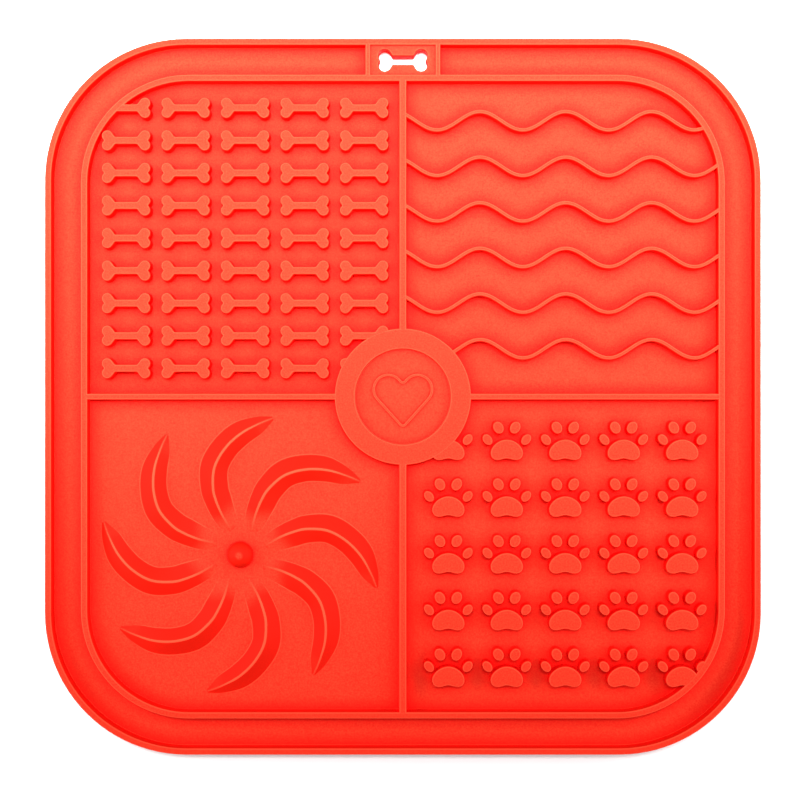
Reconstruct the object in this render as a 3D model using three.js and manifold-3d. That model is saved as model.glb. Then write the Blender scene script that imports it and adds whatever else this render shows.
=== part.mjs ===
// A slow feeder mat: one flat moulding of silicone rubber, 200 mm square with round corners. A rim and
// a rib run round it, two cross ribs part its middle into four fields, and each field has its own
// relief: rows of bones, wavy ribs, paw prints, and a swirl of eight blades round a small dome. A round
// boss stands in the middle, and a bone-shaped hole at the back edge lets the mat hang up.
// Millimetres, +Z up. The origin is the middle of the flat underside, +X runs to the right and +Y to
// the edge with the hole.
import * as THREE from "three";
import { mergeVertices } from "three/addons/utils/BufferGeometryUtils.js";
import Module from "manifold-3d";

// The plate and its heights above the underside
const HALF_SIDE = 100;
const CORNER_RADIUS = 39.6;
const FLOOR = 1.5; // top of the plate between the forms
const TOP = 5; // rim, ribs, bones, paws, waves and boss
const SUNK = 0.7; // how far each form reaches into the plate

// Rim, rib and cross ribs
const RIM_WIDTH = 1.75;
const RIB_HALF_SIDE = 89.9; // to the outside of the rib
const RIB_RADIUS = 30.2;
const RIB_WIDTH = 1.75;
const UPRIGHT_WIDTH = 1.9; // the cross rib along Y
const LEVEL_WIDTH = 1.55; // the cross rib along X
const CORNER_SEGMENTS = 10;

// The boss in the middle, with its sunk disc
const BOSS_RADIUS = 19;
const DISC_RADIUS = 13.4;
const DISC_HEIGHT = 3.8;
const BOSS_SEGMENTS = 48;

// Rows of bones: half length and half height of the shaft, and the lobes
const BONE = { shaft: 3.1, neck: 0.96, lobe: 1.5, lobeX: 5.25, lobeY: 1.33, segments: 4 };
const BONE_COLUMNS = 5;
const BONE_ROWS = 9;
const FIRST_BONE = { x: -77.3, y: 80.65 };
const BONE_PITCH = { x: 16.62, y: 9.09 };

// Wavy ribs from the upright to the rib
const WAVES = 6;
const FIRST_WAVE_Y = 77.05;
const WAVE_PITCH = 12.73;
const WAVE_LENGTH = 23.95;
const WAVE_LOW_X = 9.55; // where a wave is lowest
const WAVE_SWING = 2.57;
const WAVE_WIDTH = 0.95;
const WAVE_STEP = 3;

// Paw prints: a pad, and on each side two toes with their half sizes and lean in degrees
const PAW_COLUMNS = 5;
const PAW_ROWS = 5;
const FIRST_PAW = { x: 12.7, y: -14.85 };
const PAW_PITCH = { x: 16.33, y: 15.85 };
const PAD = { half: 4.5, top: 2.85, widest: -0.9, foot: -2.85, footX: 2.6, notch: -2.4 };
const TOES = [
  { x: 2.35, y: 6.2, wide: 1.4, long: 1.75, lean: 28 },
  { x: 5.4, y: 2.85, wide: 1.2, long: 1.65, lean: 38 },
];
const PAD_SEGMENTS = 6;
const TOE_SEGMENTS = 6;

// The swirl: blades round a dome. A blade's stations follow its ridge from the tip, which lies along
// +X, to the round inner end: outer and inner are the widths of its flanks, rise is the ridge's height.
const SWIRL = { x: -45.8, y: -44.5 };
const DOME_RADIUS = 3.65;
const DOME_HEIGHT = 3.4;
const DOME_RINGS = 5;
const DOME_SEGMENTS = 20;
const BLADES = 8;
const FIRST_TIP = 31; // degrees
const BLADE = [
  { x: 39.5, y: 0.4, outer: 0.2, inner: 0.2, rise: 0.2 },
  { x: 37.0, y: 3.9, outer: 2.2, inner: 2.8, rise: 0.8 },
  { x: 33.0, y: 8.1, outer: 3.8, inner: 3.5, rise: 1.7 },
  { x: 28.0, y: 11.2, outer: 4.25, inner: 3.55, rise: 2.3 },
  { x: 22.3, y: 12.7, outer: 4.45, inner: 3.7, rise: 2.4 },
  { x: 16.6, y: 11.8, outer: 3.85, inner: 4.25, rise: 2.1 },
  { x: 13.1, y: 10.1, outer: 3.35, inner: 4.4, rise: 1.6 },
  { x: 9.9, y: 7.8, outer: 2.65, inner: 4.1, rise: 0.9 },
  { x: 7.0, y: 4.8, outer: 1.1, inner: 1.7, rise: 0.2 },
];
const BLADE_STEPS = 12;

// The raised tab between two short ribs, with the bone-shaped hole for hanging the mat up
const TAB_HALF_WIDTH = 9.8; // to the middle of its side ribs
const TAB_RIB_WIDTH = 1.25;
const TAB_HEIGHT = 4.3;
const HOLE = { shaft: 3.1, neck: 1.33, lobe: 1.85, lobeX: 5.15, lobeY: 1.32, segments: 6 };
const HOLE_Y = 93.9;

// The strip along the back edge is parted from the rest just inside the rib, and its middle stretch,
// which holds the tab, from the two beside it
const PARTING_Y = 87.7;
const PARTING_X = 11;
const PARTING_GAP = 0.3;

const RUBBER = new THREE.MeshStandardMaterial({ color: 0xfb5a3c, roughness: 0.62, metalness: 0 });

const wasm = await Module();
wasm.setup();

function solid(geometry) {
  const bare = geometry.clone();
  bare.deleteAttribute("normal");
  bare.deleteAttribute("uv");
  const merged = mergeVertices(bare, 1e-4);
  const vertProperties = merged.attributes.position.array;
  const triVerts = new Uint32Array(merged.index.array);
  return new wasm.Manifold(new wasm.Mesh({ numProp: 3, vertProperties, triVerts }));
}

function meshOf(name, manifold) {
  const { vertProperties, triVerts } = manifold.getMesh();
  const geometry = new THREE.BufferGeometry();
  geometry.setAttribute("position", new THREE.BufferAttribute(vertProperties, 3));
  geometry.setIndex(new THREE.BufferAttribute(triVerts, 1));
  geometry.computeVertexNormals();
  const mesh = new THREE.Mesh(geometry, RUBBER);
  mesh.name = name;
  return mesh;
}

// An outline raised from one height to another. Its arcs have the given steps, its other curves half.
function raised(outline, low, high, arcSegments = 2) {
  const options = { depth: high - low, bevelEnabled: false, curveSegments: arcSegments / 2 };
  return new THREE.ExtrudeGeometry(outline, options).translate(0, 0, low);
}

// A form of the relief, rooted in the plate.
function relief(outline, { height = TOP, arcSegments } = {}) {
  return raised(outline, FLOOR - SUNK, height, arcSegments);
}

function rectangle(x0, x1, y0, y1) {
  const corners = [[x0, y0], [x1, y0], [x1, y1], [x0, y1]];
  return new THREE.Shape(corners.map(([x, y]) => new THREE.Vector2(x, y)));
}

// A square with round corners, traced into a shape or into a hole's path.
function roundSquare(path, half, radius) {
  const centre = half - radius;
  const quarter = Math.PI / 2;
  path.absarc(centre, centre, radius, 0, quarter);
  path.absarc(-centre, centre, radius, quarter, 2 * quarter);
  path.absarc(-centre, -centre, radius, 2 * quarter, 3 * quarter);
  path.absarc(centre, -centre, radius, 3 * quarter, 4 * quarter);
  path.closePath();
  return path;
}

function roundFrame(half, radius, width) {
  const shape = roundSquare(new THREE.Shape(), half, radius);
  shape.holes.push(roundSquare(new THREE.Path(), half - width, radius - width));
  return relief(shape, { arcSegments: CORNER_SEGMENTS });
}

// A bone along X: from each end of its straight shaft a slant runs to the tangent of a round lobe, and
// the two lobes of an end meet in a notch. One quarter is worked out and mirrored.
function boneShape({ shaft, neck, lobe, lobeX, lobeY, segments }) {
  const reach = Math.hypot(shaft - lobeX, neck - lobeY);
  const aim = Math.PI + Math.atan((neck - lobeY) / (shaft - lobeX));
  const from = aim - Math.acos(lobe / reach);
  const to = -Math.asin(lobeY / lobe);
  const quarter = [[shaft, neck]];
  for (let i = 0; i <= segments; i++) {
    const angle = from + ((to - from) * i) / segments;
    quarter.push([lobeX + lobe * Math.cos(angle), lobeY + lobe * Math.sin(angle)]);
  }
  const back = quarter.slice(0, -1).reverse();
  const points = [
    ...quarter,
    ...back.map(([x, y]) => [x, -y]),
    ...quarter.map(([x, y]) => [-x, -y]),
    ...back.map(([x, y]) => [-x, y]),
  ];
  return new THREE.Shape(points.map(([x, y]) => new THREE.Vector2(x, y)));
}

// A ribbon of even width along a sine, as long as the field.
function waveShape(y, fromX, toX) {
  const steps = Math.ceil((toX - fromX) / WAVE_STEP);
  const left = [];
  const right = [];
  for (let i = 0; i <= steps; i++) {
    const x = fromX + ((toX - fromX) * i) / steps;
    const turn = (2 * Math.PI * (x - WAVE_LOW_X)) / WAVE_LENGTH;
    const middle = new THREE.Vector2(x, y - WAVE_SWING * Math.cos(turn));
    const slope = ((2 * Math.PI) / WAVE_LENGTH) * WAVE_SWING * Math.sin(turn);
    const aside = new THREE.Vector2(-slope, 1).setLength(WAVE_WIDTH / 2);
    left.push(middle.clone().add(aside));
    right.unshift(middle.clone().sub(aside));
  }
  return new THREE.Shape([...left, ...right]);
}

// A paw's pad: a domed top, round shoulders and a foot with a shallow notch.
function padShape({ half, top, widest, foot, footX, notch }) {
  const shape = new THREE.Shape();
  shape.moveTo(half, widest);
  shape.bezierCurveTo(half, top / 3, half / 2, top, 0, top);
  shape.bezierCurveTo(-half / 2, top, -half, top / 3, -half, widest);
  shape.bezierCurveTo(-half, foot * 0.8, -half * 0.8, foot, -footX, foot);
  shape.lineTo(0, notch);
  shape.lineTo(footX, foot);
  shape.bezierCurveTo(half * 0.8, foot, half, foot * 0.8, half, widest);
  return shape;
}

function toeShape({ wide, long }) {
  return new THREE.Shape().absellipse(0, 0, wide, long, 0, 2 * Math.PI);
}

// The pad and four toes of one paw print.
function pawForms(x, y) {
  const forms = [relief(padShape(PAD), { arcSegments: PAD_SEGMENTS }).translate(x, y, 0)];
  for (const toe of TOES) {
    for (const side of [-1, 1]) {
      const form = relief(toeShape(toe), { arcSegments: TOE_SEGMENTS });
      form.rotateZ(-side * THREE.MathUtils.degToRad(toe.lean));
      forms.push(form.translate(x + side * toe.x, y + toe.y, 0));
    }
  }
  return forms;
}

// A blade: at each station two feet stand on the plate with the ridge between them, and the section
// goes down into the plate. Neighbouring sections are joined, and the two ends are closed.
function bladeGeometry() {
  const line = new THREE.CatmullRomCurve3(BLADE.map((s) => new THREE.Vector3(s.x, s.y, s.rise)));
  const widths = new THREE.CatmullRomCurve3(BLADE.map((s) => new THREE.Vector3(s.outer, s.inner, 0)));
  const sections = [];
  for (let i = 0; i <= BLADE_STEPS; i++) {
    const along = i / BLADE_STEPS;
    const { x, y, z } = line.getPoint(along);
    const { x: outer, y: inner } = widths.getPoint(along);
    const heading = line.getTangent(along).setZ(0).normalize();
    const foot = (width, height) => [x - heading.y * width, y + heading.x * width, height];
    sections.push([
      foot(-outer, FLOOR - SUNK),
      foot(-outer, FLOOR),
      foot(0, FLOOR + z),
      foot(inner, FLOOR),
      foot(inner, FLOOR - SUNK),
    ]);
  }
  const round = sections[0].length;
  const index = [];
  for (let i = 0; i < BLADE_STEPS; i++) {
    for (let j = 0; j < round; j++) {
      const a = i * round + j;
      const b = i * round + ((j + 1) % round);
      index.push(a, b + round, b, a, a + round, b + round);
    }
  }
  const last = BLADE_STEPS * round;
  for (let j = 1; j < round - 1; j++) {
    index.push(0, j, j + 1);
    index.push(last, last + j + 1, last + j);
  }
  const geometry = new THREE.BufferGeometry();
  geometry.setAttribute("position", new THREE.Float32BufferAttribute(sections.flat(2), 3));
  geometry.setIndex(index);
  return geometry;
}

// Nearly half a ball on the plate, its foot sunk into it.
function domeGeometry() {
  const profile = [new THREE.Vector2(0, -SUNK), new THREE.Vector2(DOME_RADIUS, -SUNK)];
  for (let i = 0; i < DOME_RINGS; i++) {
    const angle = (Math.PI / 2) * (i / DOME_RINGS);
    profile.push(new THREE.Vector2(DOME_RADIUS * Math.cos(angle), DOME_HEIGHT * Math.sin(angle)));
  }
  profile.push(new THREE.Vector2(0, DOME_HEIGHT));
  return new THREE.LatheGeometry(profile, DOME_SEGMENTS).rotateX(Math.PI / 2).translate(0, 0, FLOOR);
}

function swirlForms() {
  const forms = [domeGeometry().translate(SWIRL.x, SWIRL.y, 0)];
  for (let i = 0; i < BLADES; i++) {
    const turn = THREE.MathUtils.degToRad(FIRST_TIP + (360 / BLADES) * i);
    forms.push(bladeGeometry().rotateZ(turn).translate(SWIRL.x, SWIRL.y, 0));
  }
  return forms;
}

function boneForms() {
  const forms = [];
  for (let column = 0; column < BONE_COLUMNS; column++) {
    for (let row = 0; row < BONE_ROWS; row++) {
      const x = FIRST_BONE.x + column * BONE_PITCH.x;
      const y = FIRST_BONE.y - row * BONE_PITCH.y;
      forms.push(relief(boneShape(BONE)).translate(x, y, 0));
    }
  }
  return forms;
}

function waveForms() {
  const forms = [];
  for (let i = 0; i < WAVES; i++) {
    forms.push(relief(waveShape(FIRST_WAVE_Y - i * WAVE_PITCH, 0, RIB_HALF_SIDE - RIB_WIDTH / 2)));
  }
  return forms;
}

function pawPrints() {
  const forms = [];
  for (let column = 0; column < PAW_COLUMNS; column++) {
    for (let row = 0; row < PAW_ROWS; row++) {
      const x = FIRST_PAW.x + column * PAW_PITCH.x;
      const y = FIRST_PAW.y - row * PAW_PITCH.y;
      forms.push(...pawForms(x, y));
    }
  }
  return forms;
}

function crossRibs() {
  const reach = RIB_HALF_SIDE - RIB_WIDTH / 2;
  return [
    relief(rectangle(-UPRIGHT_WIDTH / 2, UPRIGHT_WIDTH / 2, -reach, reach)),
    relief(rectangle(-reach, reach, -LEVEL_WIDTH / 2, LEVEL_WIDTH / 2)),
  ];
}

// The tab fills the channel between its two side ribs.
function tabForms() {
  const inside = RIB_HALF_SIDE - RIB_WIDTH / 2;
  const outside = HALF_SIDE - RIM_WIDTH / 2;
  const field = rectangle(-TAB_HALF_WIDTH, TAB_HALF_WIDTH, inside, outside);
  const forms = [relief(field, { height: TAB_HEIGHT })];
  for (const side of [-1, 1]) {
    const middle = side * TAB_HALF_WIDTH;
    const half = TAB_RIB_WIDTH / 2;
    forms.push(relief(rectangle(middle - half, middle + half, inside, outside)));
  }
  return forms;
}

function disc(radius, low, high) {
  const circle = new THREE.Shape().absarc(0, 0, radius, 0, 2 * Math.PI);
  return raised(circle, low, high, BOSS_SEGMENTS);
}

// Everything inside the rib's outside face, so that no form reaches into the channel.
function fieldLimit() {
  const outline = roundSquare(new THREE.Shape(), RIB_HALF_SIDE, RIB_RADIUS);
  return raised(outline, 0, TOP + 1, CORNER_SEGMENTS);
}

function joined(forms) {
  return wasm.Manifold.union(forms.map(solid));
}

function wholeMat() {
  const plate = raised(roundSquare(new THREE.Shape(), HALF_SIDE, CORNER_RADIUS), 0, FLOOR, CORNER_SEGMENTS);
  const boss = disc(BOSS_RADIUS, FLOOR - SUNK, TOP);
  const fields = [...boneForms(), ...waveForms(), ...pawPrints(), ...swirlForms(), ...crossRibs(), boss];
  const edges = [
    roundFrame(HALF_SIDE, CORNER_RADIUS, RIM_WIDTH),
    roundFrame(RIB_HALF_SIDE, RIB_RADIUS, RIB_WIDTH),
    ...tabForms(),
  ];
  const recess = disc(DISC_RADIUS, DISC_HEIGHT, TOP + 1);
  const hole = raised(boneShape(HOLE), -1, TOP + 1).translate(0, HOLE_Y, 0);
  return joined(fields)
    .intersect(solid(fieldLimit()))
    .add(joined([plate, ...edges]))
    .subtract(joined([recess, hole]));
}

// A block over one rectangle of the plan, from below the mat to above it.
function block(x0, x1, y0, y1) {
  return solid(raised(rectangle(x0, x1, y0, y1), -1, TOP + 1));
}

// What each piece takes of the plan, half a parting gap short of its neighbours.
function partedBlocks() {
  const reach = HALF_SIDE + 1;
  const front = PARTING_Y - PARTING_GAP / 2;
  const back = PARTING_Y + PARTING_GAP / 2;
  const inner = PARTING_X - PARTING_GAP / 2;
  const outer = PARTING_X + PARTING_GAP / 2;
  return {
    mat: block(-reach, reach, -reach, front),
    hanging_tab: block(-inner, inner, back, reach),
    strip_left: block(-reach, -outer, back, reach),
    strip_right: block(outer, reach, back, reach),
  };
}

const whole = wholeMat();
const group = new THREE.Group();
for (const [name, part] of Object.entries(partedBlocks())) {
  group.add(meshOf(name, whole.intersect(part)));
}

export default group;
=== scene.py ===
"""Looks of a silicone slow feeder mat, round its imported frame.

Laid out as a Blender add-on and run as a script. The mat is one moulding, so its rim, ribs, bones,
waves, paws, swirl, boss and tab are made as closed surfaces of their own and then joined into one mesh.
Lengths in the tables are millimetres, +X to the right and +Y to the edge with the hanging hole.
"""
import math

import bmesh
import bpy
import mathutils
import numpy as np
from bpy.props import FloatProperty, FloatVectorProperty, PointerProperty
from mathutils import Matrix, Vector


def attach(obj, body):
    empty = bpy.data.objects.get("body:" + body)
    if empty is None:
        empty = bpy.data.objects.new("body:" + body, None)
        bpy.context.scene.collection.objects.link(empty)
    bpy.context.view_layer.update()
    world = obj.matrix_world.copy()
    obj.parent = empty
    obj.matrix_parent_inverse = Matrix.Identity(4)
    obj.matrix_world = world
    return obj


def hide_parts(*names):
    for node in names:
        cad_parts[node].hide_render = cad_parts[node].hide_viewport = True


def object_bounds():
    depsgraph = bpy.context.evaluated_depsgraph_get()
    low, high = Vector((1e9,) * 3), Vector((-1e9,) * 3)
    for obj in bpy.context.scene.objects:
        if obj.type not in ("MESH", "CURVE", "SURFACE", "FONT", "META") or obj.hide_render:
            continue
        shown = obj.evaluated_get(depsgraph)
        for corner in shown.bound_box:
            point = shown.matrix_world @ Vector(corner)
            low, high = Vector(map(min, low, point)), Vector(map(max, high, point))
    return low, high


bl_info = {
    "name": "Slow Feeder Mat",
    "version": (1, 0, 0),
    "blender": (4, 5, 0),
    "location": "View3D > Sidebar > Feeder Mat",
    "description": "Moulded silicone slow feeder mat with its relief, finish and studio",
    "category": "Add Mesh",
}

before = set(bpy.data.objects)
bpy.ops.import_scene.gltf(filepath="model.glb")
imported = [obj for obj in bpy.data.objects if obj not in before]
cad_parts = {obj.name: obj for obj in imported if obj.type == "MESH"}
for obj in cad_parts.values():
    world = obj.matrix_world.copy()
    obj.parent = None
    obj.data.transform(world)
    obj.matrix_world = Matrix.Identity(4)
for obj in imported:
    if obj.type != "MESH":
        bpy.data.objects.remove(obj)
CAD_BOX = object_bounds()
MM = 0.001
PAINTED_HIGHLIGHT = "painted_highlight"  # attribute of the faces with a painted highlight, lighter at the rounded edges and ridges where light would catch them
SLOPE_SHADE = "slope_shade"  # attribute of the faces that lean, and get the flank colour, a painted shade

# The plate and its heights above the underside
HALF_SIDE = CAD_BOX[1].x / MM
TOP = CAD_BOX[1].z / MM
CORNER_RADIUS = 39.6
FLOOR = 1.5
SUNK = 0.7  # how far each form reaches into the plate
SINK = 0.02  # how far the outer line of a foot lies under the floor
CORNER_STEPS = 24
ROUND_STEPS = 3  # of a wall's rounding and of the hollow at its foot
PAST = 1.0  # how far what cuts reaches past the mat
SAME_POINT = 1e-6  # points of an outline that are closer are one
ON_CUT = 1e-5  # points that lie closer to a cut are on it

# The large flats are cut into cells of this width, by nets that start at different places
CELL = 8.0
NET_STARTS = {"tray": 3.3, "boss": 5.9, "tab_field": 7.1}

# How far forms stay under the top, so that where two of them meet their tops don't lie in one plane
UNDER_TOP = {"upright": 0.01, "tab_rib": 0.01, "level": 0.02, "bone": 0.03, "paw": 0.03, "wave": 0.04}

# Rim, rib and cross ribs
RIM_WIDTH = 1.75
RIB_HALF_SIDE = 89.9
RIB_RADIUS = 30.2
RIB_WIDTH = 1.75
UPRIGHT_WIDTH = 1.9
LEVEL_WIDTH = 1.55

# The boss in the middle, with its sunk disc
BOSS_RADIUS = 19.0
DISC_RADIUS = 13.4
DISC_HEIGHT = 3.8
BOSS_STEPS = 144

# Rows of bones
BONE = {"shaft": 3.1, "neck": 0.96, "lobe": 1.5, "lobe_x": 5.25, "lobe_y": 1.33, "notch": 0.3,
        "elbow": 0.5}
BONE_STEPS = {"elbow": 3, "lobe": 10, "notch": 4}
BONE_COLUMNS = 5
BONE_ROWS = 9
FIRST_BONE = (-77.3, 80.65)
BONE_PITCH = (16.62, -9.09)

# Wavy ribs from the upright to the rib
WAVES = 6
FIRST_WAVE_Y = 77.05
WAVE_PITCH = 12.73
WAVE_LENGTH = 23.95
WAVE_LOW_X = 9.55
WAVE_SWING = 2.57
WAVE_WIDTH = 0.95
WAVE_STEPS = 120

# Paw prints: a pad, and two pairs of toes with their half sizes and lean in degrees
PAW_COLUMNS = 5
PAW_ROWS = 5
FIRST_PAW = (12.7, -14.85)
PAW_PITCH = (16.33, -15.85)
PAD = {"half": 4.5, "top": 2.85, "widest": -0.9, "foot": -2.85, "foot_x": 2.6, "notch": -2.4}
PAD_STEPS = {"dome": 14, "shoulder": 8, "sole": 14}
PAD_SHOULDER = 0.8  # how far the shoulder bulges towards the corner of its box
TOES = (
    {"name": "inner_toes", "x": 2.35, "y": 6.2, "wide": 1.4, "long": 1.75, "lean": 28},
    {"name": "outer_toes", "x": 5.4, "y": 2.85, "wide": 1.2, "long": 1.65, "lean": 38},
)

# The swirl: a blade's stations follow its ridge from the tip, which lies along +X, to the low and broad
# inner end. Columns: x, y, width of the outer and of the inner flank, height of the ridge.
SWIRL = (-45.8, -44.5)
DOME_RADIUS = 3.65
DOME_HEIGHT = 3.4
DOME_ARC = (6, 88)  # lowest and highest ring of its ball, in degrees above the floor
DOME_STEPS = (48, 15)  # round it and up it
BLADES = 8
FIRST_TIP = 31  # degrees
BLADE = np.array([
    [39.5, 0.4, 0.5, 0.6, 0.2],
    [37.0, 3.9, 2.2, 2.8, 0.8],
    [33.0, 8.1, 3.8, 3.5, 1.7],
    [28.0, 11.2, 4.25, 3.55, 2.3],
    [22.3, 12.7, 4.45, 3.7, 2.4],
    [16.6, 11.8, 3.85, 4.25, 2.1],
    [13.1, 10.1, 3.35, 4.4, 1.6],
    [9.9, 7.8, 2.9, 4.0, 0.85],
    [7.9, 5.9, 2.5, 3.4, 0.45],
    [6.7, 4.7, 1.8, 2.5, 0.22],
    [6.1, 4.05, 0.6, 0.8, 0.07],
])
BLADE_STEPS = 60  # along a blade
FLANK_STEPS = 12  # across each flank

# Painted highlight on a rounded edge: how much lighter it is painted. It is where a section turns by more
# than the bend in radians, and its rise per length lies between the two slopes.
EDGE_HIGHLIGHT = 0.8
HIGHLIGHT_BEND = 0.5
HIGHLIGHT_SLOPES = (0.1, 0.99)
FOOT_HIGHLIGHT = 0.65  # painted highlight on a blade's foot, as a share of its ridge's
HIGHLIGHT_RISE = 1.2  # height from which a blade's ridge gets the full painted highlight

# The raised tab between two short ribs, with the bone-shaped hole for hanging the mat up
TAB_HALF_WIDTH = 9.8
TAB_RIB_WIDTH = 1.25
TAB_HEIGHT = 4.3
HOLE = {"shaft": 3.1, "neck": 1.1, "lobe": 1.67, "lobe_x": 5.08, "lobe_y": 1.3, "notch": 0.5,
        "elbow": 0.6}
HOLE_Y = 94.1
HOLE_WAIST = 2.3  # height where the hole is narrowest

# The heart line on the disc
HEART = {"lobe": 4.4, "lobe_x": 4.1, "lobe_y": 2.0, "slope": 42, "tip": 1.3, "notch": 0.6}
HEART_WIDTH = 0.7
HEART_HEIGHT = 0.6
HEART_ROUNDING = 0.7  # its roundings as a share of the other forms'

# The surface's grain: the shares of the colour's red, green and blue that its dullest and its brightest
# spots have, and its bump with the height in metres
GRAIN_TONES = ((0.9, 0.05, 0.05), (1.1, 1.95, 1.95))
GRAIN_DETAIL = 2
BUMP_STRENGTH = 0.25
BUMP_HEIGHT = 0.0001

OPEN_SAMPLES = 3  # rays that look for near walls, for the painted shade between forms
PAPER_ROUGHNESS = 0.8

# Lean in degrees at which the flank colour, a painted shade on leaning faces, starts and is full
SLOPE_SHADE_LEAN = (8, 20)
SMOOTH_LIMIT = 40  # degrees between two faces up to which they shade as one surface

# The photograph's camera over the middle of the mat: height and near limit in metres, lens in
# millimetres, shift as a share of the picture's width
CAMERA_HEIGHT = 0.390
NEAR_LIMIT = 0.01
LENS = 62.08
SHIFT = (-0.0036, -0.0042)

# The softboxes and the floor in metres, the beam in degrees and the turn about its own axis in radians
KEY_BOX = {"place": (0, 0.36, 0.4), "target": (0, 0.304, 0), "size": (1.0, 0.6), "spread": 44}
KEY_TURN = 0.06
SIDE_BOX = {"target": (0, 0.02, 0), "size": (0.45, 0.2)}
SIDE_PLACES = {"left_softbox": (-0.42, 0.03, 0.18), "right_softbox": (0.42, 0.03, 0.18)}
FLOOR_HALF_SIDE = 3.0
FLOOR_DROP = 0.00005  # keeps the floor's face out of the underside's


def turn(centre, radius, start, end, steps):
    """Round stretch of an outline as x, y and its outward normal: the centre plus the radius times the
    unit vector at each angle from start to end in degrees. A negative radius makes a hollow stretch."""
    angle = np.radians(np.linspace(start, end, steps + 1))
    normal = np.stack([np.cos(angle), np.sin(angle)], axis=1)
    return np.hstack([np.asarray(centre) + radius * normal, normal])


def outline(*stretches):
    """Closed outline from its stretches: one after the other, without points that repeat the one before
    them."""
    line = np.vstack(stretches)
    gap = np.linalg.norm(line[:, :2] - np.roll(line[:, :2], 1, axis=0), axis=1)
    return line[gap > SAME_POINT]


def normals_of(points, closed):
    """A line of points with its normals: each runs at a right angle to the line between the neighbours,
    to the right of the way along it."""
    if closed:
        along = np.roll(points, -1, axis=0) - np.roll(points, 1, axis=0)
    else:
        along = np.gradient(points, axis=0)
    along /= np.linalg.norm(along, axis=1, keepdims=True)
    return np.column_stack([points, along[:, 1], -along[:, 0]])


def turned(line):
    """A line turned by half a turn about the middle: every coordinate changes its sign."""
    return -line


def round_square(half, radius):
    """Square with round corners: a quarter turn at each corner, straight between them."""
    centre = half - radius
    corners = ((1, 1), (-1, 1), (-1, -1), (1, -1))
    turns = [
        turn((sx * centre, sy * centre), radius, 90 * k, 90 * (k + 1), CORNER_STEPS)
        for k, (sx, sy) in enumerate(corners)
    ]
    return outline(*turns)


def circle(radius, steps):
    """Full circle: the radius times the unit vector at even angles."""
    return outline(turn((0, 0), radius, 0, 360, steps))


def bone_outline(shaft, neck, lobe, lobe_x, lobe_y, notch, elbow):
    """Bone along X. Each end runs from the shaft by a hollow elbow and a slant to a lobe, round it into
    the hollow notch on the axis, and back by the mirrored lobe. The other end is the same half a turn on.
    The slant leaves the lobe at the angle where the line from the shaft's end touches it."""
    reach = math.hypot(shaft - lobe_x, neck - lobe_y)
    aim = math.pi + math.atan((neck - lobe_y) / (shaft - lobe_x))
    slant = math.degrees(aim - math.acos(lobe / reach))
    meet = math.degrees(math.asin(lobe_y / (lobe + notch)))
    notch_x = lobe_x + math.sqrt((lobe + notch) ** 2 - lobe_y**2)
    half_bend = math.radians(slant - 90) / 2
    elbow_x = shaft - elbow * math.tan(half_bend)
    end = np.vstack([
        turn((elbow_x, -neck - elbow), -elbow, -90, -slant, BONE_STEPS["elbow"]),
        turn((lobe_x, -lobe_y), lobe, -slant, meet, BONE_STEPS["lobe"]),
        turn((notch_x, 0), -notch, meet, -meet, BONE_STEPS["notch"]),
        turn((lobe_x, lobe_y), lobe, -meet, slant, BONE_STEPS["lobe"]),
        turn((elbow_x, neck + elbow), -elbow, slant, 90, BONE_STEPS["elbow"]),
    ])
    return outline(end, turned(end))


def cubic(a, b, c, d, steps):
    """Cubic curve from a to d with the handles b and c, by Bernstein's weights."""
    t = np.linspace(0, 1, steps + 1)[:, None]
    a, b, c, d = (np.asarray(p, float) for p in (a, b, c, d))
    return a * (1 - t) ** 3 + 3 * b * t * (1 - t) ** 2 + 3 * c * t**2 * (1 - t) + d * t**3


def pad_outline(half, top, widest, foot, foot_x, notch):
    """Paw's pad: a domed top and round shoulders from cubic curves, and a foot that rises to its notch
    by half a cosine wave."""
    dome = cubic((half, widest), (half, top / 3), (half / 2, top), (0, top), PAD_STEPS["dome"])
    low, out = foot * PAD_SHOULDER, -half * PAD_SHOULDER
    shoulder = cubic((-half, widest), (-half, low), (out, foot), (-foot_x, foot), PAD_STEPS["shoulder"])
    x = np.linspace(-foot_x, foot_x, PAD_STEPS["sole"] + 1)[1:-1]
    sole = np.column_stack([x, foot + (notch - foot) * (1 + np.cos(np.pi * x / foot_x)) / 2])
    flip = np.array([-1, 1])
    points = np.vstack([dome, dome[-2::-1] * flip, shoulder[1:], sole, shoulder[:0:-1] * flip])
    return normals_of(points, closed=True)


def toe_outline(wide, long, steps=24):
    """Ellipse: half widths times cosine and sine, and the normal is the same with the widths swapped."""
    angle = np.radians(np.linspace(0, 360, steps, endpoint=False))
    normal = np.stack([long * np.cos(angle), wide * np.sin(angle)], axis=1)
    normal /= np.linalg.norm(normal, axis=1, keepdims=True)
    return np.column_stack([wide * np.cos(angle), long * np.sin(angle), normal])


def heart_outline(lobe, lobe_x, lobe_y, slope, tip, notch, steps=16):
    """Heart: a round tip, straight sides whose outward normals point down by the slope in degrees, two
    round lobes and the hollow notch between them. The tip lies where both its round and the lobes' reach
    equally far along the sides' normal."""
    down = math.radians(slope)
    tip_y = lobe_y - (lobe_x * math.cos(down) + lobe - tip) / math.sin(down)
    meet = math.degrees(math.asin(lobe_x / (lobe + notch)))
    notch_y = lobe_y + math.sqrt((lobe + notch) ** 2 - lobe_x**2)
    return outline(
        turn((0, tip_y), tip, slope - 180, -slope, steps),
        turn((lobe_x, lobe_y), lobe, -slope, 90 + meet, 2 * steps),
        turn((0, notch_y), -notch, 90 + meet, 90 - meet, steps // 2),
        turn((-lobe_x, lobe_y), lobe, 90 - meet, 180 + slope, 2 * steps),
    )


def wave_line():
    """Middle line of a wavy rib: a sine of the wave's length and swing, lowest at its low x."""
    x = np.linspace(0, RIB_HALF_SIDE - RIB_WIDTH / 2, WAVE_STEPS + 1)
    y = -WAVE_SWING * np.cos(2 * np.pi * (x - WAVE_LOW_X) / WAVE_LENGTH)
    return normals_of(np.column_stack([x, y])[::-1], closed=False)


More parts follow.
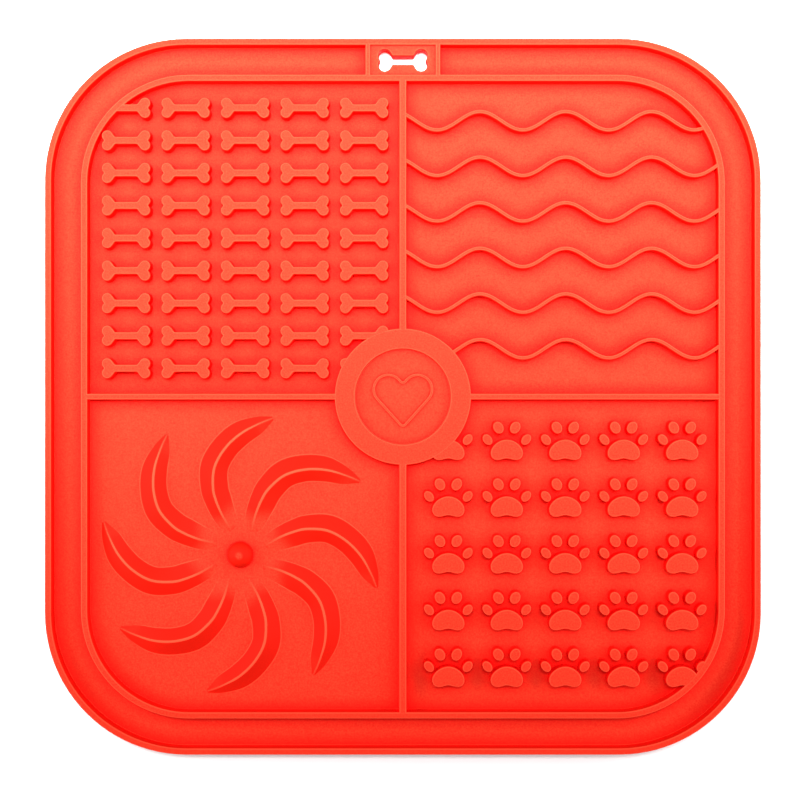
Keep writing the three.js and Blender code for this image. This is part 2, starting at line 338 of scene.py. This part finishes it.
def quarter(centre, radius, start, end):
    """Quarter round of a section: the centre plus the radius times cosine and sine."""
    angle = np.radians(np.linspace(start, end, ROUND_STEPS + 1))
    return np.asarray(centre) + radius * np.column_stack([np.cos(angle), np.sin(angle)])


def wall(low, high, edge, foot, draft):
    """Side of a form from the floor up as outward and height: a hollow quarter round at the foot, a
    straight face that leans in by the draft, and a quarter round up to the top edge, whose outer
    line is at 0."""
    lean = math.tan(draft) * (high - edge - low - foot)
    hollow = quarter((lean + foot, low + foot), foot, 270, 180)
    crest = quarter((-edge, high - edge), edge, 0, 90)
    return np.vstack([hollow, crest])


def rooted(side, sunk=SUNK):
    """A side with its foot a little under the floor and a root straight down from there."""
    out, low = side[0]
    return np.vstack([[out, low - sunk], [out, low - SINK], side[1:]])


def far_side(side, width):
    """The opposite side of a form of that width: mirrored, and in falling order."""
    return (np.array([-width, 0]) + side * np.array([-1, 1]))[::-1]


def swept(line, section):
    """Grid of a section carried along a line: at each point of the line the section's outward runs
    along the normal and its height along Z. Rows follow the section, columns the line."""
    section = np.asarray(section, float)
    plan = line[None, :, :2] + section[:, :1, None] * line[None, :, 2:]
    height = np.broadcast_to(section[:, 1:, None], plan.shape[:2] + (1,))
    return np.concatenate([plan, height], axis=2)


def painted_highlight(section):
    """Painted highlight of each stretch of a section: a rounded edge's value where it starts above the
    floor, turns left by more than the bend at its two ends together, and rises or falls at a slope
    between the two limits, otherwise 0."""
    way = np.roll(section, -1, axis=0) - section
    heading = np.unwrap(np.arctan2(way[:, 1], way[:, 0]))
    bend = np.roll(heading, -1) - np.roll(heading, 1)
    bend = (bend + np.pi) % (2 * np.pi) - np.pi
    slope = np.abs(way[:, 1]) / np.linalg.norm(way, axis=1)
    low, high = HIGHLIGHT_SLOPES
    edge = (bend > HIGHLIGHT_BEND) & (slope > low) & (slope < high)
    return EDGE_HIGHLIGHT * (edge & (section[:, 1] > FLOOR))


def skin(grid, light, ring=False):
    """Closed surface over a grid whose rows close on themselves: quads between neighbouring rows, and a
    face over the first and the last row, or with ring quads from the last row to the first. Gives the
    points, the faces and the painted highlight of each face."""
    rows, columns = grid.shape[:2]
    index = np.arange(rows * columns).reshape(rows, columns)
    low, high = (index, np.roll(index, -1, axis=0)) if ring else (index[:-1], index[1:])
    corners = [low, np.roll(low, -1, axis=1), np.roll(high, -1, axis=1), high]
    faces = [np.stack(corners, axis=-1).reshape(-1, 4)]
    lights = [np.broadcast_to(light, low.shape).ravel()]
    if not ring:
        faces += [index[:1, ::-1], index[-1:]]
        lights += [np.zeros(1), np.zeros(1)]
    return grid.reshape(-1, 3), faces, lights


def mound(line, profile):
    """Form with a flat top: its profile carried round its outline."""
    return skin(swept(line, profile), painted_highlight(np.asarray(profile))[:-1, None])


def hoop(line, section):
    """Rib that closes on itself: its section carried round its outer outline."""
    return skin(swept(line, section), painted_highlight(section)[:, None], ring=True)


def ridge(line, section):
    """Rib with two ends: its section carried along its middle line, both ends closed."""
    half = (section[0, 0] + section[-1, 0]) / 2
    middled = section - np.array([half, 0])
    return skin(swept(line, middled).transpose(1, 0, 2), painted_highlight(section)[None, :])


def copies(shape, places, turns=0.0):
    """Copies of a surface, each turned about Z by its angle in degrees and moved to its place."""
    points, faces, lights = shape
    places = np.asarray(places, float)
    angle = np.radians(np.broadcast_to(turns, len(places)))[:, None]
    x = points[:, 0] * np.cos(angle) - points[:, 1] * np.sin(angle) + places[:, :1]
    y = points[:, 0] * np.sin(angle) + points[:, 1] * np.cos(angle) + places[:, 1:2]
    z = np.broadcast_to(points[:, 2], x.shape)
    first = (np.arange(len(places)) * len(points))[:, None, None]
    moved = [(face + first).reshape(-1, face.shape[-1]) for face in faces]
    repeated = [np.tile(light, len(places)) for light in lights]
    return np.stack([x, y, z], axis=-1).reshape(-1, 3), moved, repeated


def grid_places(first, pitch, columns, rows):
    """Places of a grid of like forms: the first one plus whole steps of the pitch."""
    column, row = np.meshgrid(np.arange(columns), np.arange(rows))
    return np.column_stack([first[0] + column.ravel() * pitch[0], first[1] + row.ravel() * pitch[1]])


def through(stations, steps):
    """Smooth line through stations (Catmull-Rom): between two of them the cubic whose slope at each is
    half the way between its neighbours."""
    first, last = 2 * stations[0] - stations[1], 2 * stations[-1] - stations[-2]
    padded = np.vstack([first, stations, last])
    at = np.linspace(0, len(stations) - 1, steps + 1)
    k = np.minimum(at.astype(int), len(stations) - 2)
    t = (at - k)[:, None]
    a, b, c, d = (padded[k + i] for i in range(4))
    return b + 0.5 * t * (c - a + t * (2 * a - 5 * b + 4 * c - d + t * (3 * (b - c) + d - a)))


def blade_shape(crest, foot):
    """Blade of the swirl. Across it, measured in flank widths from the ridge, the height falls as
    1 - q, with parabolas that round the ridge and run out on the floor, each over half a width at most.
    Along it the widths and the height follow the stations. The ridge gets a painted highlight by its
    height over the highlight rise, up to 1, and the foot by its share of that."""
    line = through(BLADE, BLADE_STEPS)
    outer, inner, rise = line[:, 2:3], line[:, 3:4], line[:, 4:5]
    along = np.gradient(line[:, :2], axis=0)
    along /= np.linalg.norm(along, axis=1, keepdims=True)
    left = np.column_stack([-along[:, 1], along[:, 0]])
    down = np.linspace(1, 0, FLANK_STEPS, endpoint=False)
    share = np.concatenate([down, [0], np.linspace(0, 1, FLANK_STEPS + 1)[1:]])
    side = np.sign(np.linspace(1, -1, 2 * FLANK_STEPS + 1))[None, :]
    width = np.where(side > 0, inner, outer)
    soft = np.clip(foot / width, 0, 0.5)
    round_off = np.clip(crest / width, 0, 0.5)
    q = share[None, :] * (1 + soft)
    top = 1 - round_off / 2 - q**2 / (2 * round_off)
    run_out = (1 + soft - q) ** 2 / (4 * soft)
    fall = np.where(q < round_off, top, np.where(q < 1 - soft, 1 - q, run_out))
    across = side * q * width
    height = FLOOR + rise * fall
    height[:, [0, -1]] = FLOOR - SINK
    across = np.column_stack([across[:, 0], across, across[:, -1]])
    root = np.full(len(line), FLOOR - SUNK)
    height = np.column_stack([root, height, root])
    plan = line[:, None, :2] + across[:, :, None] * left[:, None, :]
    column = np.abs(np.arange(height.shape[1]) + 0.5 - (height.shape[1] - 1) / 2)
    # Painted highlight: lighter along the ridge and on the outer strip of the foot, more as the ridge
    # rises
    light = np.where(column < 1, 1.0, FOOT_HIGHLIGHT * (column > FLANK_STEPS - 1))
    light = light * np.clip(rise[:-1] / HIGHLIGHT_RISE, 0, 1)
    return skin(np.concatenate([plan, height[:, :, None]], axis=2), light)


def form(name, shape):
    """New object with a surface, in millimetres, as a working form of the mat."""
    points, faces, lights = shape
    mesh = bpy.data.meshes.new(name)
    mesh.from_pydata(points.tolist(), [], [row for face in faces for row in face.tolist()])
    # each face's painted highlight
    mesh.attributes.new(PAINTED_HIGHLIGHT, "FLOAT", "FACE").data.foreach_set("value", np.concatenate(lights))
    mesh.update()
    made = bpy.data.objects.new(name, mesh)
    bpy.context.scene.collection.objects.link(made)
    return made


def read_points(mesh):
    """Places of a mesh's vertices, three numbers a row."""
    place = np.empty(len(mesh.vertices) * 3)
    mesh.vertices.foreach_get("co", place)
    return place.reshape(-1, 3)


def read_faces(mesh):
    """Corner vertices, face of each corner, and the normal and area of each face, as arrays."""
    vertex = np.empty(len(mesh.loops), np.int64)
    mesh.loops.foreach_get("vertex_index", vertex)
    total = np.empty(len(mesh.polygons), np.int64)
    mesh.polygons.foreach_get("loop_total", total)
    normal = np.empty(len(mesh.polygons) * 3)
    mesh.polygons.foreach_get("normal", normal)
    area = np.empty(len(mesh.polygons))
    mesh.polygons.foreach_get("area", area)
    return vertex, np.repeat(np.arange(len(total)), total), normal.reshape(-1, 3), area


def check_closed(mesh):
    """Raises an error if the mesh is empty or an edge doesn't join two faces."""
    edge = np.empty(len(mesh.loops), np.int64)
    mesh.loops.foreach_get("edge_index", edge)
    uses = np.bincount(edge, minlength=len(mesh.edges))
    if len(uses) == 0 or (uses != 2).any():
        wrong = (uses != 2).sum()
        raise RuntimeError(f"{wrong} of {len(uses)} edges of {mesh.name} don't join two faces")


def combine(target, operand, operation):
    """Boolean of two closed surfaces. The target gets the result, and the operand goes."""
    modifier = target.modifiers.new("combine", "BOOLEAN")
    modifier.operation = operation
    modifier.solver = "EXACT"
    modifier.object = operand
    graph = bpy.context.evaluated_depsgraph_get()
    made = bpy.data.meshes.new_from_object(target.evaluated_get(graph))
    target.modifiers.clear()
    old = target.data
    check_closed(made)
    target.data = made
    bpy.data.meshes.remove(old)
    remove(operand)


def remove(made):
    """Removes an object with its mesh."""
    mesh = made.data
    bpy.data.objects.remove(made)
    bpy.data.meshes.remove(mesh)


def cut_in_cells(made, start):
    """Cuts a form's faces along a square net, so that none of them gets many holes in the joining. The
    start keeps the nets of two forms apart."""
    work = bmesh.new()
    work.from_mesh(made.data)
    for across in ((1, 0, 0), (0, 1, 0)):
        for place in np.arange(start - HALF_SIDE, HALF_SIDE, CELL):
            everything = [*work.verts, *work.edges, *work.faces]
            point = place * mathutils.Vector(across)
            bmesh.ops.bisect_plane(work, geom=everything, dist=ON_CUT, plane_co=point, plane_no=across)
    work.to_mesh(made.data)
    work.free()


def trim(made):
    """Cuts a form off at the middle of the rib and of the boss's ring, where those cover the cut."""
    beyond = ((0, FLOOR - 2 * SUNK), (0, TOP + PAST))
    inside = round_square(RIB_HALF_SIDE - RIB_WIDTH / 2, RIB_RADIUS - RIB_WIDTH / 2)
    combine(made, form("field_limit", mound(inside, beyond)), "INTERSECT")
    ring = circle((BOSS_RADIUS + DISC_RADIUS) / 2, BOSS_STEPS)
    combine(made, form("boss_limit", mound(ring, beyond)), "DIFFERENCE")


def soft_normals(mesh, limit):
    """Corner normals: at each corner the sum of area times normal over the faces at its vertex that
    meet its own face at under the limit, so that flats stay flat and rounded edges run into them."""
    vertex, face, normal, area = read_faces(mesh)
    order = np.argsort(vertex, kind="stable")
    count = np.bincount(vertex, minlength=len(mesh.vertices))
    start = np.cumsum(count) - count
    each = count[vertex[order]]
    own = np.repeat(order, each)
    step = np.arange(each.sum()) - np.repeat(np.cumsum(each) - each, each)
    other = order[np.repeat(start[vertex[order]], each) + step]
    close = np.einsum("ij,ij->i", normal[face[own]], normal[face[other]]) > math.cos(limit)
    own, other = own[close], other[close]
    weighted = normal[face[other]] * area[face[other], None]
    total = np.stack([np.bincount(own, weighted[:, k], len(vertex)) for k in range(3)], axis=1)
    return total / np.linalg.norm(total, axis=1, keepdims=True)


def paint_slope_shade(mesh):
    """Writes how much painted shade each face gets for its lean: 0 up to the first lean, 1 from the
    second, and by a smooth step between them."""
    _, _, normal, _ = read_faces(mesh)
    lean = np.degrees(np.arccos(np.clip(normal[:, 2], -1, 1)))
    low, high = SLOPE_SHADE_LEAN
    share = np.clip((lean - low) / (high - low), 0, 1)
    mesh.attributes.new(SLOPE_SHADE, "FLOAT", "FACE").data.foreach_set("value", share**2 * (3 - 2 * share))


class MouldedShape(bpy.types.PropertyGroup):
    """Roundings and lean that the mould gives every form."""

    edge: FloatProperty(
        name="Edge rounding", description="Radius of the top edges", default=0.00028, unit="LENGTH"
    )
    foot: FloatProperty(
        name="Foot rounding",
        description="Hollow radius at the foot of a wall",
        default=0.00014,
        unit="LENGTH",
    )
    draft: FloatProperty(
        name="Draft", description="Lean of the walls", default=math.radians(2), subtype="ANGLE"
    )
    crest: FloatProperty(
        name="Blade crest",
        description="Half width of a blade's round ridge",
        default=0.0004,
        unit="LENGTH",
    )


class SiliconeFinish(bpy.types.PropertyGroup):
    """Colour and surface of the silicone, with its painted shade and painted highlight."""

    colour: FloatVectorProperty(
        name="Colour",
        description="Colour of the silicone",
        default=(0.74, 0.0265, 0.0098),
        subtype="COLOR",
    )
    # Painted shade: a darker, redder colour between close forms, where walls shade the floor and light
    # bounces from wall to wall
    painted_shade: FloatVectorProperty(
        name="Deep colour",
        description="Colour between close forms, where light bounces from wall to wall",
        default=(0.78, 0.0003, 0.0002),
        subtype="COLOR",
    )
    # Painted shade: a darker colour on leaning faces, such as the blades' flanks and the walls, in place
    # of the light falling off on them
    flank: FloatVectorProperty(
        name="Flank colour",
        description="Colour of leaning faces",
        default=(0.6, 0.0063, 0.0004),
        subtype="COLOR",
    )
    # Painted highlight: a lighter colour on the rounded edges and ridges, where light would catch them
    edge: FloatVectorProperty(
        name="Edge colour",
        description="Colour of rounded edges",
        default=(0.85, 0.062, 0.026),
        subtype="COLOR",
    )
    # how far from a wall, and how steeply, the painted shade between forms reaches
    reach: FloatProperty(
        name="Reach", description="How far a wall deepens the colour", default=0.0042, unit="LENGTH"
    )
    falloff: FloatProperty(
        name="Falloff", description="Exponent of the change to the deep colour", default=2.8, min=0
    )
    roughness: FloatProperty(
        name="Roughness", description="Roughness of the moulded surface", default=0.7, min=0, max=1
    )
    gloss: FloatProperty(
        name="Gloss", description="Strength of the reflections", default=0.08, min=0, max=1
    )
    grain: FloatProperty(
        name="Grain", description="Size of the grain in the surface", default=0.00045, unit="LENGTH"
    )


class StudioLight(bpy.types.PropertyGroup):
    """Floor and lights."""

    floor_colour: FloatVectorProperty(
        name="Floor", description="Colour of the floor", default=(0.95, 0.95, 0.95), subtype="COLOR"
    )
    key: FloatProperty(
        name="Key light",
        description="Power of the softbox over the back edge",
        default=8.0,
        unit="POWER",
    )
    sides: FloatProperty(
        name="Side lights",
        description="Power of each low softbox at the sides",
        default=2.3,
        unit="POWER",
    )
    fill: FloatProperty(name="Fill", description="Strength of the light all round", default=0.38, min=0)


class FeederMat(bpy.types.PropertyGroup):
    """Settings of the mat and its studio."""

    shape: PointerProperty(type=MouldedShape)
    finish: PointerProperty(type=SiliconeFinish)
    studio: PointerProperty(type=StudioLight)


def side_wall(low=FLOOR, high=TOP, share=1.0):
    """Side of a form with the mould's roundings and draft, the roundings times the share."""
    shape = bpy.context.scene.feeder_mat.shape
    return wall(low, high, share * shape.edge / MM, share * shape.foot / MM, shape.draft)


def rib_section(width, under_top):
    """Section of a rib on the floor: a rooted side, its top and the far side. It stays that little under
    the top, so that its top face doesn't lie in the face of a form that it runs into."""
    side = rooted(side_wall(high=TOP - under_top))
    return np.vstack([side, far_side(side, width)])


class FEEDER_OT_tray(bpy.types.Operator):
    """Add the plate with its rim and the rib that runs inside it"""

    bl_idname = "feeder.tray"
    bl_label = "Tray"

    def execute(self, context):
        edge = context.scene.feeder_mat.shape.edge / MM
        under = quarter((-edge, edge), edge, 270, 360)
        crest = quarter((-edge, TOP - edge), edge, 0, 90)
        profile = np.vstack([under, crest, far_side(side_wall(), RIM_WIDTH)])
        plate = form("tray", mound(round_square(HALF_SIDE, CORNER_RADIUS), profile))
        cut_in_cells(plate, NET_STARTS["tray"])
        form("rib", hoop(round_square(RIB_HALF_SIDE, RIB_RADIUS), rib_section(RIB_WIDTH, 0)))
        return {"FINISHED"}


class FEEDER_OT_cross_ribs(bpy.types.Operator):
    """Add the two straight ribs that part the four fields"""

    bl_idname = "feeder.cross_ribs"
    bl_label = "Cross ribs"

    def execute(self, context):
        reach = RIB_HALF_SIDE
        upright = normals_of(np.array([[0, -reach], [0, reach]]), closed=False)
        level = normals_of(np.array([[-reach, 0], [reach, 0]]), closed=False)
        trim(form("upright", ridge(upright, rib_section(UPRIGHT_WIDTH, UNDER_TOP["upright"]))))
        trim(form("level", ridge(level, rib_section(LEVEL_WIDTH, UNDER_TOP["level"]))))
        return {"FINISHED"}


class FEEDER_OT_bones(bpy.types.Operator):
    """Add the rows of raised bones"""

    bl_idname = "feeder.bones"
    bl_label = "Bones"

    def execute(self, context):
        bone = mound(bone_outline(**BONE), rooted(side_wall(high=TOP - UNDER_TOP["bone"])))
        places = grid_places(FIRST_BONE, BONE_PITCH, BONE_COLUMNS, BONE_ROWS)
        trim(form("bones", copies(bone, places)))
        return {"FINISHED"}


class FEEDER_OT_waves(bpy.types.Operator):
    """Add the wavy ribs"""

    bl_idname = "feeder.waves"
    bl_label = "Waves"

    def execute(self, context):
        wave = ridge(wave_line(), rib_section(WAVE_WIDTH, UNDER_TOP["wave"]))
        places = grid_places((0, FIRST_WAVE_Y), (0, -WAVE_PITCH), 1, WAVES)
        trim(form("waves", copies(wave, places)))
        return {"FINISHED"}


class FEEDER_OT_paws(bpy.types.Operator):
    """Add the rows of paw prints"""

    bl_idname = "feeder.paws"
    bl_label = "Paw prints"

    def execute(self, context):
        side = rooted(side_wall(high=TOP - UNDER_TOP["paw"]))
        places = grid_places(FIRST_PAW, PAW_PITCH, PAW_COLUMNS, PAW_ROWS)
        trim(form("pads", copies(mound(pad_outline(**PAD), side), places)))
        for toe in TOES:
            one = mound(toe_outline(toe["wide"], toe["long"]), side)
            spots = ((-toe["x"], toe["y"]), (toe["x"], toe["y"]))
            pair = copies(one, spots, (toe["lean"], -toe["lean"]))
            trim(form(toe["name"], copies(pair, places)))
        return {"FINISHED"}


class FEEDER_OT_swirl(bpy.types.Operator):
    """Add the eight blades and the dome that they turn round"""

    bl_idname = "feeder.swirl"
    bl_label = "Swirl"

    def execute(self, context):
        shape = context.scene.feeder_mat.shape
        blade = blade_shape(shape.crest / MM, shape.foot / MM)
        turns = FIRST_TIP + 360 / BLADES * np.arange(BLADES)
        form("blades", copies(blade, np.tile(SWIRL, (BLADES, 1)), turns))
        foot = side_wall()[:ROUND_STEPS + 1]
        round_steps, rising_steps = DOME_STEPS
        angle = np.radians(np.linspace(*DOME_ARC, rising_steps + 1))
        ball = np.column_stack([DOME_RADIUS * (np.cos(angle) - 1), FLOOR + DOME_HEIGHT * np.sin(angle)])
        profile = np.vstack([rooted(foot - np.array([foot[-1, 0], 0])), ball])
        form("dome", copies(mound(circle(DOME_RADIUS, round_steps), profile), [SWIRL]))
        return {"FINISHED"}


class FEEDER_OT_boss(bpy.types.Operator):
    """Add the round boss with its sunk disc and the heart line on it"""

    bl_idname = "feeder.boss"
    bl_label = "Boss"

    def execute(self, context):
        recess = far_side(side_wall(low=DISC_HEIGHT), BOSS_RADIUS - DISC_RADIUS)
        profile = np.vstack([rooted(side_wall()), recess])
        boss = form("boss", mound(circle(BOSS_RADIUS, BOSS_STEPS), profile))
        cut_in_cells(boss, NET_STARTS["boss"])
        side = side_wall(DISC_HEIGHT, DISC_HEIGHT + HEART_HEIGHT, HEART_ROUNDING)
        side = rooted(side, HEART_HEIGHT)
        section = np.vstack([side, far_side(side, HEART_WIDTH)])
        form("heart", hoop(heart_outline(**HEART), section))
        return {"FINISHED"}


class FEEDER_OT_tab(bpy.types.Operator):
    """Add the raised tab with its two side ribs, in the channel at the back edge"""

    bl_idname = "feeder.tab"
    bl_label = "Hanging tab"

    def execute(self, context):
        inside = RIB_HALF_SIDE - RIB_WIDTH / 2
        outside = HALF_SIDE - RIM_WIDTH / 2
        middle = normals_of(np.array([[0, inside], [0, outside]]), closed=False)
        w = TAB_HALF_WIDTH
        block = np.array([[w, FLOOR - SUNK], [w, TAB_HEIGHT], [-w, TAB_HEIGHT], [-w, FLOOR - SUNK]])
        cut_in_cells(form("tab_field", ridge(middle, block)), NET_STARTS["tab_field"])
        rib = ridge(middle, rib_section(TAB_RIB_WIDTH, UNDER_TOP["tab_rib"]))
        form("tab_ribs", copies(rib, [(-w, 0), (w, 0)]))
        return {"FINISHED"}


def hole_cutter():
    """What the hole takes out of the tab: its outline carried up a profile that is narrowest at the
    waist, widens by the draft both ways and flares round the two edges."""
    shape = bpy.context.scene.feeder_mat.shape
    edge, lean = shape.edge / MM, 2 * math.tan(shape.draft)
    low, high = lean * (HOLE_WAIST - edge), lean * (TAB_HEIGHT - HOLE_WAIST - edge)
    profile = np.vstack([
        [low + edge, -PAST],
        quarter((low + edge, edge), edge, 270, 180),
        [0, HOLE_WAIST],
        quarter((high + edge, TAB_HEIGHT - edge), edge, 180, 90),
        [high + edge, TOP + PAST],
    ])
    return form("hole", copies(mound(bone_outline(**HOLE), profile), [(0, HOLE_Y)]))


# The forms in the order in which they join the tray. The hole is cut between the two rows.
TAB_FORMS = ("rib", "tab_field", "tab_ribs")
FIELD_FORMS = ("upright", "level", "boss", "heart", "dome", "blades", "pads", "inner_toes", "outer_toes",
               "waves", "bones")


class FEEDER_OT_moulding(bpy.types.Operator):
    """Join the tray and its forms into one moulding, cut the hole and give it its finish"""

    bl_idname = "feeder.moulding"
    bl_label = "Join the moulding"

    def execute(self, context):
        mat = bpy.data.objects["tray"]
        for name in TAB_FORMS:
            combine(mat, bpy.data.objects[name], "UNION")
        combine(mat, hole_cutter(), "DIFFERENCE")
        for name in FIELD_FORMS:
            combine(mat, bpy.data.objects[name], "UNION")
        mesh = mat.data
        mesh.vertices.foreach_set("co", read_points(mesh).ravel() * MM)
        mesh.update()
        check_closed(mesh)
        paint_slope_shade(mesh)
        mesh.polygons.foreach_set("use_smooth", np.ones(len(mesh.polygons), bool))
        mesh.normals_split_custom_set(soft_normals(mesh, math.radians(SMOOTH_LIMIT)).tolist())
        mesh.name = mat.name = "feeder_mat"
        mesh.materials.clear()
        mesh.materials.append(silicone())
        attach(mat, "root")
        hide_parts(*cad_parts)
        return {"FINISHED"}


def new_material(name):
    """New material with a shader and its output. Gives the material, its node tree and the shader."""
    material = bpy.data.materials.new(name)
    material.use_nodes = True
    nodes = material.node_tree.nodes
    nodes.clear()
    output = nodes.new("ShaderNodeOutputMaterial")
    shader = nodes.new("ShaderNodeBsdfPrincipled")
    material.node_tree.links.new(shader.outputs["BSDF"], output.inputs["Surface"])
    return material, material.node_tree, shader


def grain_group():
    """Node group of the mould's texture: a fine grain from 0 to 1, for a mask or a height."""
    group = bpy.data.node_groups.new("moulded_grain", "ShaderNodeTree")
    group.interface.new_socket("Grains per metre", in_out="INPUT", socket_type="NodeSocketFloat")
    group.interface.new_socket("Grain", in_out="OUTPUT", socket_type="NodeSocketFloat")
    nodes, links = group.nodes, group.links
    given = nodes.new("NodeGroupInput")
    result = nodes.new("NodeGroupOutput")
    place = nodes.new("ShaderNodeTexCoord")
    noise = nodes.new("ShaderNodeTexNoise")
    noise.inputs["Detail"].default_value = GRAIN_DETAIL
    links.new(place.outputs["Object"], noise.inputs["Vector"])
    links.new(given.outputs["Grains per metre"], noise.inputs["Scale"])
    links.new(noise.outputs["Fac"], result.inputs["Grain"])
    return group


def colour_mix(tree, factor, low, high):
    """Mix of two colours, each a socket or a triple, by the factor socket. Gives the result's socket."""
    mix = tree.nodes.new("ShaderNodeMix")
    mix.data_type = "RGBA"
    tree.links.new(factor, mix.inputs["Factor"])
    for name, colour in (("A", low), ("B", high)):
        socket = next(s for s in mix.inputs if s.name == name and s.type == "RGBA")
        if isinstance(colour, bpy.types.NodeSocket):
            tree.links.new(colour, socket)
        else:
            socket.default_value = (*colour, 1)
    return next(s for s in mix.outputs if s.type == "RGBA")


def share_of(tree, name):
    """Socket with the share that an attribute of the mesh's faces gives."""
    attribute = tree.nodes.new("ShaderNodeAttribute")
    attribute.attribute_name = name
    return attribute.outputs["Fac"]


def silicone():
    """Matte moulded silicone. Its grained colour goes to the flank colour, a painted shade, where a face
    leans, then to the colour of painted shade between close forms as the share of open surroundings,
    raised to the falloff, goes to 0, and last to the edge colour, a painted highlight, on the faces
    marked for it."""
    finish = bpy.context.scene.feeder_mat.finish
    material, tree, shader = new_material("silicone")
    nodes, links = tree.nodes, tree.links
    grain = nodes.new("ShaderNodeGroup")
    grain.node_tree = grain_group()
    grain.inputs["Grains per metre"].default_value = 1 / finish.grain
    dull, bright = (tuple(np.multiply(shares, finish.colour)) for shares in GRAIN_TONES)
    tone = colour_mix(tree, grain.outputs["Grain"], dull, bright)
    # ambient occlusion drives the painted shade between close forms
    open_share = nodes.new("ShaderNodeAmbientOcclusion")
    open_share.samples = OPEN_SAMPLES
    open_share.only_local = True
    open_share.inputs["Distance"].default_value = finish.reach
    falloff = nodes.new("ShaderNodeMath")
    falloff.operation = "POWER"
    falloff.inputs[1].default_value = finish.falloff
    links.new(open_share.outputs["AO"], falloff.inputs[0])
    # painted shade on leaning faces
    slope_shaded = colour_mix(tree, share_of(tree, SLOPE_SHADE), tone, finish.flank)
    hollow_shaded = colour_mix(tree, falloff.outputs[0], finish.painted_shade, slope_shaded)
    # painted highlight on the faces that the highlight attribute marks
    edge_highlighted = colour_mix(tree, share_of(tree, PAINTED_HIGHLIGHT), hollow_shaded, finish.edge)
    links.new(edge_highlighted, shader.inputs["Base Color"])
    bump = nodes.new("ShaderNodeBump")
    bump.inputs["Strength"].default_value = BUMP_STRENGTH
    bump.inputs["Distance"].default_value = BUMP_HEIGHT
    links.new(grain.outputs["Grain"], bump.inputs["Height"])
    links.new(bump.outputs["Normal"], shader.inputs["Normal"])
    shader.inputs["Roughness"].default_value = finish.roughness
    shader.inputs["Specular IOR Level"].default_value = finish.gloss
    return material


def paper():
    """Plain pale floor paper."""
    material, _, shader = new_material("pale_paper")
    shader.inputs["Base Color"].default_value = (*bpy.context.scene.feeder_mat.studio.floor_colour, 1)
    shader.inputs["Roughness"].default_value = PAPER_ROUGHNESS
    return material


def area_light(name, power, place, target, size, spread=180):
    """Softbox at a place, aimed at a target point. The spread is the angle of its beam in degrees."""
    data = bpy.data.lights.new(name, "AREA")
    data.shape = "RECTANGLE"
    data.size, data.size_y = size
    data.energy = power
    data.spread = math.radians(spread)
    light = bpy.data.objects.new(name, data)
    aim = np.asarray(target, float) - np.asarray(place, float)
    light.location = place
    light.rotation_euler = mathutils.Vector(aim).to_track_quat("-Z", "Y").to_euler()
    bpy.context.scene.collection.objects.link(light)
    return light


class FEEDER_OT_studio(bpy.types.Operator):
    """Add the floor, the lights and the camera of the photograph"""

    bl_idname = "feeder.studio"
    bl_label = "Studio"

    def execute(self, context):
        studio = context.scene.feeder_mat.studio
        half = FLOOR_HALF_SIDE
        corners = [(-half, -half, 0), (half, -half, 0), (half, half, 0), (-half, half, 0)]
        mesh = bpy.data.meshes.new("studio_floor")
        mesh.from_pydata(corners, [], [(0, 1, 2, 3)])
        mesh.materials.append(paper())
        floor = bpy.data.objects.new("studio_floor", mesh)
        floor.location.z = -FLOOR_DROP
        context.scene.collection.objects.link(floor)
        key = area_light("key_softbox", studio.key, **KEY_BOX)
        key.rotation_euler.rotate_axis("Z", KEY_TURN)
        for name, place in SIDE_PLACES.items():
            area_light(name, studio.sides, place, **SIDE_BOX)
        world = bpy.data.worlds.new("studio_world")
        world.use_nodes = True
        background = world.node_tree.nodes["Background"]
        background.inputs["Color"].default_value = (1, 1, 1, 1)
        background.inputs["Strength"].default_value = studio.fill
        context.scene.world = world
        data = bpy.data.cameras.new("photo_camera")
        data.lens = LENS
        data.shift_x, data.shift_y = SHIFT
        data.clip_start = NEAR_LIMIT
        camera = bpy.data.objects.new("photo_camera", data)
        camera.location = (0, 0, CAMERA_HEIGHT)
        context.scene.collection.objects.link(camera)
        context.scene.camera = camera
        context.scene.view_settings.view_transform = "Standard"
        return {"FINISHED"}


class FEEDER_PT_panel(bpy.types.Panel):
    """Sidebar panel that lists the steps and the settings"""

    bl_idname = "FEEDER_PT_panel"
    bl_label = "Feeder Mat"
    bl_space_type = "VIEW_3D"
    bl_region_type = "UI"
    bl_category = "Feeder Mat"

    def draw(self, context):
        settings = context.scene.feeder_mat
        for step in STEPS:
            self.layout.operator(step.bl_idname)
        for group in (settings.shape, settings.finish, settings.studio):
            box = self.layout.box()
            for name in group.bl_rna.properties.keys()[2:]:  # the first two are every group's own
                box.prop(group, name)


SETTINGS = (MouldedShape, SiliconeFinish, StudioLight, FeederMat)
STEPS = (FEEDER_OT_studio, FEEDER_OT_tray, FEEDER_OT_cross_ribs, FEEDER_OT_bones, FEEDER_OT_waves,
         FEEDER_OT_paws, FEEDER_OT_swirl, FEEDER_OT_boss, FEEDER_OT_tab, FEEDER_OT_moulding)


def register():
    for kind in (*SETTINGS, *STEPS, FEEDER_PT_panel):
        bpy.utils.register_class(kind)
    bpy.types.Scene.feeder_mat = PointerProperty(type=FeederMat)


def unregister():
    del bpy.types.Scene.feeder_mat
    for kind in reversed((*SETTINGS, *STEPS, FEEDER_PT_panel)):
        bpy.utils.unregister_class(kind)


def main():
    register()
    for step in STEPS:
        operator = getattr(bpy.ops.feeder, step.bl_idname.split(".")[1])
        operator()


if __name__ == "__main__":
    main()
